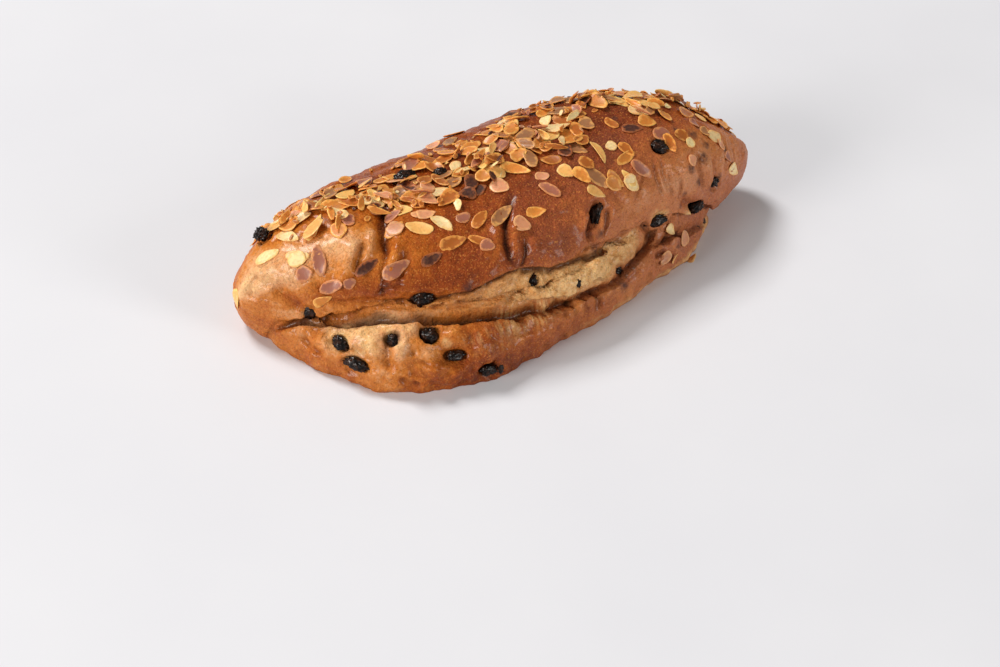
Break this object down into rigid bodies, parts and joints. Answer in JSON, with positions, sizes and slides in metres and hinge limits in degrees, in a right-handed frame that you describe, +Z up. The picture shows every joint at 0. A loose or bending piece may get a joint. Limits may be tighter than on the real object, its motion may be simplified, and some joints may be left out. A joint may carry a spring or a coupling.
{
  "type": "stollen",
  "caption": "Whole stollen: a folded loaf of sweet dough with a lip along its front, raisins in the crust and flaked almonds on top.",
  "frame": {"origin": "middle of the underside, at the centre of the overall box in plan", "axes": "+X along the loaf's length, +Y from the folded lip to the smooth back, +Z up"},
  "size_m": [0.315, 0.1552, 0.0782],
  "materials": {
    "crust": "baked golden-brown bread crust, speckled, with a paler band where the fold opened",
    "raisin": "dark wrinkled dried fruit, slightly glossy",
    "almond": "toasted flaked almond, cream to brown"
  },
  "bodies": {
    "root": {"loaf": "crust", "raisin_01": "raisin", "raisin_02": "raisin", "raisin_03": "raisin", "raisin_04": "raisin", "raisin_05": "raisin", "raisin_06": "raisin", "raisin_07": "raisin", "raisin_08": "raisin", "raisin_09": "raisin", "raisin_10": "raisin", "raisin_11": "raisin", "raisin_12": "raisin", "raisin_13": "raisin", "raisin_14": "raisin", "raisin_15": "raisin", "raisin_16": "raisin", "raisin_17": "raisin", "raisin_18": "raisin", "almond_01": "almond", "almond_02": "almond", "almond_03": "almond", "almond_04": "almond", "almond_05": "almond", "almond_06": "almond", "almond_07": "almond", "almond_08": "almond", "almond_09": "almond", "almond_10": "almond", "almond_11": "almond", "almond_12": "almond", "almond_13": "almond", "almond_14": "almond", "almond_15": "almond", "almond_16": "almond", "almond_17": "almond", "almond_18": "almond", "almond_19": "almond", "almond_20": "almond", "almond_21": "almond", "almond_22": "almond", "almond_23": "almond", "almond_24": "almond", "almond_25": "almond", "almond_26": "almond", "almond_27": "almond", "almond_28": "almond", "almond_29": "almond", "almond_30": "almond", "almond_31": "almond", "almond_32": "almond"}
  },
  "joints": []
}
